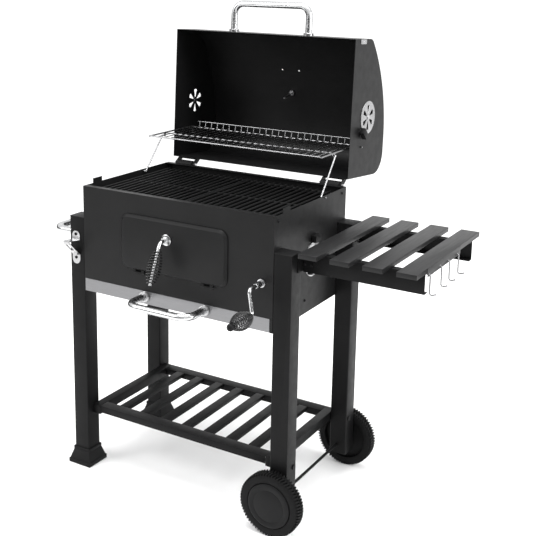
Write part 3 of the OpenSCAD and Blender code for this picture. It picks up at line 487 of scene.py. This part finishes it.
# ---------------------------------------------------------------- wheels and hub caps
def wheel(name, side):
    """Wheel with two rows of slanted lugs; side is 1 for the front wheel, -1 for the rear."""
    outer = -WHEEL_GAP - WHEEL_W if side > 0 else BOX_D + WHEEL_GAP + WHEEL_W
    centre = at(AXLE_X, outer, WHEEL_R)
    axis = Vector((0, side, 0))
    tyre = Builder()
    tyre.lathe(centre, axis, [
        (4.2, 9), (13, 9), (14, 10), (14, 12), (60.6, 12), (61.4, 3), (62.2, 1.5), (63.5, 1),
        (77, 1), (79.5, 2.2), (80.6, 5), (81, 8), (81, 16.4), (84.6, 17.1), (84.6, 18.9),
        (81, 19.6), (81, 28), (80.6, 31), (79.5, 33.8), (77, 35), (63.5, 35), (62.2, 34.5),
        (61.4, 33), (60.6, 24), (16, 24), (15, 35), (14, 36), (4.2, 36)], sides=120)
    side_axis = Vector((0, 0, 1)).cross(axis).normalized()
    up_axis = axis.cross(side_axis)

    def spot(r, h, angle):
        a = math.radians(angle)
        return (centre + (r / 1000) * (math.cos(a) * side_axis + math.sin(a) * up_axis)
                + (h / 1000) * axis)

    # Each lug is a block with 8 corners, narrower at the top; angles are in degrees.
    # Its top is lower at the ends, except at the inner end of the outer row.
    lugs, slant, shoulder_drop = 64, 1.1, 1.2
    root_r, root_half, top_half, top_inset = 79.2, 1.65, 1.2, 1.0
    for row, (h0, h1) in enumerate([(2.2, 16.4), (19.6, 33.8)]):
        lean = slant if row == 0 else -slant
        for k in range(lugs):
            middle = 360 * (k + 0.5 * row) / lugs
            b = len(tyre.verts)
            for r, wide, inset in [(root_r, root_half, 0), (WHEEL_R, top_half, top_inset)]:
                for end, h, sway in [("low", h0 + inset, -lean), ("high", h1 - inset, lean)]:
                    full = r < WHEEL_R or (row == 0 and end == "high")
                    drop = 0 if full else shoulder_drop
                    for w in (-wide, wide):
                        tyre.verts.append(spot(r - drop, h, middle + sway + w))
            tyre.faces += [(b + 4, b + 5, b + 7, b + 6), (b, b + 1, b + 5, b + 4),
                           (b + 2, b + 3, b + 7, b + 6), (b, b + 2, b + 6, b + 4),
                           (b + 1, b + 3, b + 7, b + 5), (b, b + 1, b + 3, b + 2)]
    where = "wheel_front" if side > 0 else "wheel_rear"
    tyre.make(where + "_tyre", TYRE, where, (where,), angle=28)
    cap = Builder()
    cap.lathe(centre, axis, [
        (0.05, -1.0), (42, -1.3), (43.2, -0.7), (44.4, -1.3), (54, -1.5), (57.5, -1.2),
        (59.6, 0), (60.6, 2.5), (60.8, 11), (58, 11), (58, 2.4), (0.05, 0.5)], sides=96)
    cap.make(where + "_cap", CAP, where, ("hubcap_front" if side > 0 else "hubcap_rear",),
             angle=28)


wheel("front", 1)
wheel("rear", -1)


# ---------------------------------------------------------------- bent tube handles
def tube_grip(node, body, place, width, out, bend):
    """Chrome tube bent at both ends; place(u, v) is u mm along it and v mm outward."""
    ends = [place(-width / 2, 1), place(-width / 2, out), place(width / 2, out),
            place(width / 2, 1)]
    tube = Builder()
    tube.sweep(rounded_path(ends, bend, 14), TUBE_R, sides=28)
    tube.make(node + "_tube", CHROME, body, (node,), angle=50)
    rings = Builder()
    for u in (-width / 2, width / 2):
        axis = (place(u, 10) - place(u, 0)).normalized()
        rings.lathe(place(u, 0), axis, [
            (10.05, 0.3), (15, 0.3), (15, 3), (14.2, 3.6), (14.2, 4.6), (15, 5.2), (15, 7),
            (14, 8), (10.05, 8)], sides=48)
    rings.make(node + "_collars", TRIM_RING, body, (node,), angle=30)


tube_grip("lid_handle", "lid", lambda u, v: lid_at(BOX_W / 2 + u, LID_D + v, 50), 248, 83, 30)
tube_grip("drawer_handle", "drawer", lambda u, v: at(302 + u, -v, 555), 192, 80, 34)
tube_grip("push_handle", "cart", lambda u, v: at(-LEG - v, BOX_D / 2 + u, 690), 346, 78, 30)


# ---------------------------------------------------------------- coiled wire grips
def coil_grip(name, body, nodes, start, end, turns, narrow, wide, wire):
    """Spindle of wound wire: wide mm radius in the middle, narrow at its ends."""
    coil = Builder()
    coil.sweep(helix(start, end, turns,
                     lambda t: narrow + (wide - wire - narrow)
                     * math.sin(math.pi * (0.05 + 0.9 * t)) ** 0.9, per_turn=22),
               wire, sides=9)
    return coil.make(name, COIL, body, nodes, angle=60)


def crank_at(y, z):
    """Crank coordinates, where the arm hangs along -Z, to the frame."""
    return at(CRANK_X - z * math.sin(CRANK_LEAN), y, CRANK_Z + z * math.cos(CRANK_LEAN))


crank = Builder()
BALL_Y = -CRANK_FRONT - GRIP_LEN - BALL_R
crank.sweep(rounded_path([crank_at(352, 0), crank_at(-CRANK_FRONT, 0),
                          crank_at(-CRANK_FRONT, -CRANK_ARM),
                          crank_at(BALL_Y + 2.5, -CRANK_ARM)], 9, 10), ROD_R, sides=22)
crank.lathe(crank_at(0, 0), (0, 1, 0), [
    (ROD_BORE, -30), (6, -30), (6.4, -29.2), (8, -12), (8, -8.6), (7.4, -8),
    (ROD_BORE, -8)], sides=40)
crank.lathe(crank_at(0, 0), (0, 1, 0), [
    (ROD_BORE, 10), (9, 10), (9.5, 10.6), (9.5, 17.4), (9, 18), (ROD_BORE, 18)], sides=40)
crank.make("crank_bent_rod", CHROME, "crank", ("crank_rod",), angle=50)
ball = Builder()
round_side = [(max(BALL_R * math.cos(a), 0.05), BALL_R * math.sin(a))
              for a in (math.radians(-90 + 15 * k) for k in range(10))]
ball.lathe(crank_at(BALL_Y, -CRANK_ARM), (0, 1, 0), round_side + [
    (6.2, 7.4), (6.2, 9.2), (ROD_BORE, 9.4), (ROD_BORE, 2), (0.05, 2)], sides=40)
ball.make("crank_ball_end", CAP, "crank", ("crank_rod",), angle=40)
coil_grip("crank_coil", "crank_grip", ("crank_grip",), crank_at(BALL_Y + 11.5, -CRANK_ARM),
          crank_at(-CRANK_FRONT - 14, -CRANK_ARM), 12, 6.6, 23, 1.6)

TOP, TIP = Vector((DOOR_X, -44, 713)), Vector((DOOR_X, -82, 623))
door_rod = Builder()
door_rod.sweep(rounded_path([at(DOOR_X, -2.5, DOOR_Z), at(DOOR_X, -35, DOOR_Z), at(*TOP),
                             at(*TIP)], 12, 10), ROD_R, sides=22)
door_rod.lathe(at(DOOR_X, 0, DOOR_Z), (0, 1, 0), [
    (ROD_BORE, -12.3), (14, -12.3), (15, -11.6), (15, -9.9), (14.4, -9.3),
    (ROD_BORE, -9.3)], sides=48)
door_rod.lathe(at(DOOR_X, 0, DOOR_Z), (0, 1, 0), [
    (ROD_BORE, -19), (8, -19), (9, -18), (9, -12.4), (ROD_BORE, -12.4)], sides=6)
door_rod.lathe(at(DOOR_X, 0, DOOR_Z), (0, 1, 0), [
    (ROD_BORE, -6.6), (9, -6.6), (9, -3.4), (8, -2.6), (ROD_BORE, -2.6)], sides=6)
door_rod.make("door_handle_rod", CHROME, "door_handle", ("door_handle",), angle=40)
coil_grip("door_coil", "door_handle", ("door_handle",), at(*TOP.lerp(TIP, 0.07)),
          at(*TOP.lerp(TIP, 0.95)), 12, 6.6, 20, 1.6)


# ---------------------------------------------------------------- hooks and bottle opener
HOOK_TOP = TABLE_TOP - SLAT_T - 4
hooks = Builder()
for y in HOOK_YS:
    hooks.sweep(rounded_path([at(RAIL_END - 9, y, HOOK_TOP), at(RAIL_END + 4, y, HOOK_TOP),
                              at(RAIL_END + 4, y, HOOK_TOP - 52),
                              at(RAIL_END + 20.6, y, HOOK_TOP - 46)], 5.5, 8),
                1.9, sides=12)
hooks.make("wire_hooks", WIRE, "cart", ("tool_hooks",), angle=50)

opener = Builder()


def strip(path, middle, halves):
    """Sheet strip 2.4 mm thick along (y, z) points, with its own half width at each."""
    rings = []
    for i, (y, z) in enumerate(path):
        before, after = path[max(i - 1, 0)], path[min(i + 1, len(path) - 1)]
        along = Vector((0, after[0] - before[0], after[1] - before[1])).normalized()
        face = along.cross(Vector((1, 0, 0)))
        here = Vector((middle, y, z))
        w = halves[i] if isinstance(halves, list) else halves
        rings.append([at(*(here + sx * Vector((w, 0, 0)) + st * face))
                      for sx, st in ((-1, -0.7), (-0.97, -1.2), (0.97, -1.2), (1, -0.7),
                                     (1, 0.7), (0.97, 1.2), (-0.97, 1.2), (-1, 0.7))])
    opener.grid(rings)


strip([(-1.3, 702), (-1.3, 701), (-1.3, 699), (-1.3, 696), (-1.3, 692), (-1.3, 688.5),
       (-1.3, 679), (-2.6, 676.6), (-6, 676.2), (-20, 678), (-34, 680), (-41, 680.4),
       (-43.6, 679.2), (-42.6, 676.6), (-37, 671)], -27.5,
      [3, 6, 9, 11.4, 13.1, 13.5, 13.5, 13.5, 13.5, 13.2, 12, 10.6, 10, 10.4, 12])
for offset in (-9.6, 9.6):
    strip([(-38, 672), (-28, 662), (-13, 647)], -27.5 + offset, 3.6)
strip([(-14.5, 648.5), (-7, 641), (-2.8, 636.6), (-1.3, 634), (-1.3, 621.5), (-1.3, 618),
       (-1.3, 614), (-1.3, 611), (-1.3, 609), (-1.3, 608)], -27.5,
      [13.5, 13.5, 13.5, 13.5, 13.5, 13.1, 11.4, 9, 6, 3])
opener.make("opener_strip", TRIM_RING, "cart", ("bottle_opener",), angle=30)


# ---------------------------------------------------------------- screws
def screws(name, node, places, r, h, mat):
    heads = Builder()
    for centre, axis in places:
        heads.lathe(centre, axis, [
            (0.02, 0), (0.02, h * 0.45), (r * 0.3, h * 0.45), (r * 0.42, h), (r * 0.7, h * 0.94),
            (r * 0.92, h * 0.6), (r, h * 0.2), (r, 0)], sides=24)
    heads.make(name, mat, "cart", (node,), angle=30)


screws("wall_screws", "box_screws",
       [(at(x, y, z), (sx, 0, 0)) for x, sx in ((BOX_W, 1), (0, -1))
        for y, z in ((20, BOX_TOP - 14), (BOX_D - 24, BOX_TOP - 14), (169, 571))], 4, 2.5, CAP)
screws("frame_screws", "cart_screws",
       [(at(-27.5, -2.5, z), (0, -1, 0)) for z in (693, 626)]
       + [(at(x, BOX_D, z), (0, 1, 0)) for x in (-LEG / 2, BOX_W + LEG / 2)
          for z in (600, 700)], 4.5, 2.5, CAP)


# ---------------------------------------------------------------- vent discs
def vent(node, body, wall, side):
    """The CAD disc with its edges rounded, steel with a black finger knob."""
    obj = softened(node, VENT_STEEL, body, 0.25, shortest=0.5)
    obj.data.materials.append(CAP)
    knob_starts = 2.2
    face = CORNER.x + (wall + side * knob_starts) / 1000
    for polygon in obj.data.polygons:
        if (polygon.center.x - face) * side > 0:
            polygon.material_index = 1


vent("vent_disc_lid_left", "lid_vent_left", LID_X, -1)
vent("vent_disc_lid_right", "lid_vent_right", LID_X + LID_W, 1)
vent("vent_disc_box_left", "box_vent_left", 0, -1)
vent("vent_disc_box_right", "box_vent_right", BOX_W, 1)


# ---------------------------------------------------------------- corner plate of the lid
corner = Builder()
corner.extrude([(372, 33), (385, 33), (385, 68), (383, 70), (374, 70), (372, 68)],
               lambda u, v: lid_at(LID_X + LID_W + 0.1, u, v), Vector((0.0012, 0, 0)),
               bevel=0.3)
corner.lathe(lid_at(LID_X + LID_W + 1.2, 378.5, 52), (1, 0, 0), [
    (0.02, 0), (0.02, 0.6), (1.2, 0.6), (1.6, 1.3), (2.8, 0.9), (3.2, 0.2), (3.2, 0)], sides=24)
corner.make("lid_corner_plate", VENT_STEEL, "lid", angle=30)


# ---------------------------------------------------------------- thermometer dial
GAUGE_TURN = math.acos((GAUGE_A - LID_TOP_A) / LID_TOP_R)


def gauge_at(u, v, h):
    """u along X and v round the lid, h outward from the lid's curved top, in millimetres."""
    r = LID_TOP_R + h
    a = LID_TOP_A + r * math.cos(GAUGE_TURN) - v * math.sin(GAUGE_TURN)
    b = LID_H - LID_TOP_R + r * math.sin(GAUGE_TURN) + v * math.cos(GAUGE_TURN)
    return lid_at(GAUGE_X + u, a, b)


OUT = (gauge_at(0, 0, 10) - gauge_at(0, 0, 0)).normalized()
dial = Builder()
dial.lathe(gauge_at(0, 0, 8.1), OUT, [
    (0.05, 0), (0.05, 0.7), (20.5, 0.7), (21, 0.5), (21.5, 0.7), (25.2, 0.7), (25.2, 0)],
    sides=72)
dial.make("dial_plate", DIAL, "lid", angle=20)
marks, needle = Builder(), Builder()
for k in range(31):
    a = math.radians(-135 + 9 * k)
    inner = 20.5 if k % 5 else 18.6
    wide = 0.22 if k % 5 else 0.42
    du, dv = math.sin(a), math.cos(a)
    ring = []
    for h in (8.8, 9.0):
        ring.append([gauge_at(r * du + s * wide * dv, r * dv - s * wide * du, h)
                     for r, s in ((inner, -1), (23.6, -1), (23.6, 1), (inner, 1))])
    marks.grid(ring)
marks.make("dial_ticks", MARK, "lid", angle=20)
a = math.radians(-118)
du, dv = math.sin(a), math.cos(a)
needle.grid([[gauge_at(r * du + s * dv, r * dv - s * du, h)
              for r, s in ((-6, -0.9), (17.5, -0.25), (17.5, 0.25), (-6, 0.9))]
             for h in (9.6, 10.0)])
needle.lathe(gauge_at(0, 0, 8.8), OUT, [
    (0.05, 0), (0.05, 1.9), (1.4, 1.8), (2.2, 1.2), (2.4, 0)], sides=24)
needle.make("dial_needle", NEEDLE, "lid", angle=20)


# ---------------------------------------------------------------- studio and camera
def flat_card(name, corners, mat):
    """Flat stage object with four corners, in metres. It isn't part of the grill."""
    data = bpy.data.meshes.new(name)
    data.from_pydata(corners, [], [(0, 1, 2, 3)])
    data.materials.append(mat)
    obj = bpy.data.objects.new(name, data)
    bpy.context.scene.collection.objects.link(obj)
    return obj


def pale_floor(name):
    """Matt near-white floor with faint clouding."""
    mat, tree, shader = material(name)
    tree.links.new(tint(tree, noise(tree, coordinates(tree), 2, 3), (0.90, 0.90, 0.90),
                        (0.94, 0.94, 0.94)), shader.inputs["Base Color"])
    shader.inputs["Roughness"].default_value = 0.9
    return mat


FLOOR = 9
flat_card("floor", [(-FLOOR, -FLOOR, 0), (FLOOR, -FLOOR, 0), (FLOOR, FLOOR, 0),
                    (-FLOOR, FLOOR, 0)], pale_floor("pale_floor"))
bpy.context.scene.view_settings.view_transform = "Standard"
bpy.context.scene.view_settings.look = "None"

world = bpy.data.worlds.new("studio")
bpy.context.scene.world = world
world.use_nodes = True
world.node_tree.nodes["Background"].inputs["Color"].default_value = (1, 1, 1, 1)
world.node_tree.nodes["Background"].inputs["Strength"].default_value = 1.25


def area_light(name, place, target, size, power):
    data = bpy.data.lights.new(name, "AREA")
    data.shape = "RECTANGLE"
    data.size, data.size_y = size
    data.energy = power
    light = bpy.data.objects.new(name, data)
    light.location = place
    light.rotation_euler = (Vector(target) - Vector(place)).to_track_quat("-Z", "Y").to_euler()
    bpy.context.scene.collection.objects.link(light)
    return light


# Upright black cards that only reflections see, so that bright metal shows dark bands
CARD_BOTTOM = -0.5
for name, (x0, y0), (x1, y1), top in (
        ("card_front", (-3.5, -4.5), (3.5, -4.5), 2.1),
        ("card_left", (-3.6, -3.2), (-3.6, 3.2), 1.3),
        ("card_right", (4.4, -3.4), (4.4, 3.4), 1.3)):
    card = flat_card(name, [(x0, y0, CARD_BOTTOM), (x1, y1, CARD_BOTTOM), (x1, y1, top),
                            (x0, y0, top)], MARK)
    card.visible_camera = card.visible_diffuse = card.visible_shadow = False

area_light("key_left", (-2.2, -2.6, 2.6), (0, 0, 0.7), (1.6, 1.6), 60)
area_light("side_right", (3.2, 0.2, 1.8), (0, 0, 0.8), (1.2, 1.6), 70)
area_light("top", (0.2, -0.3, 3.4), (0, 0, 0.8), (2.2, 1.6), 110)

AZIMUTH, ELEVATION, ROLL = (math.radians(v) for v in (31.162, 12.383, 0.775))
TARGET = at(-148.0, 1088.0, 643.8)
DISTANCE = 3.7123
LENS = 66.23859  # mm, on a sensor 36 mm wide
back = Vector((math.sin(AZIMUTH) * math.cos(ELEVATION),
               -math.cos(AZIMUTH) * math.cos(ELEVATION), math.sin(ELEVATION)))
right = (-back).cross(Vector((0, 0, 1))).normalized()
up = right.cross(-back)
right, up = (math.cos(ROLL) * right + math.sin(ROLL) * up,
             math.cos(ROLL) * up - math.sin(ROLL) * right)
data = bpy.data.cameras.new("camera")
data.sensor_width = 36
data.lens = LENS
data.shift_x = 0.0461
data.shift_y = -0.1710
camera = bpy.data.objects.new("camera", data)
turn = Matrix((right, up, back)).transposed().to_4x4()
camera.matrix_world = Matrix.Translation(TARGET + back * DISTANCE) @ turn
bpy.context.scene.collection.objects.link(camera)
bpy.context.scene.camera = camera
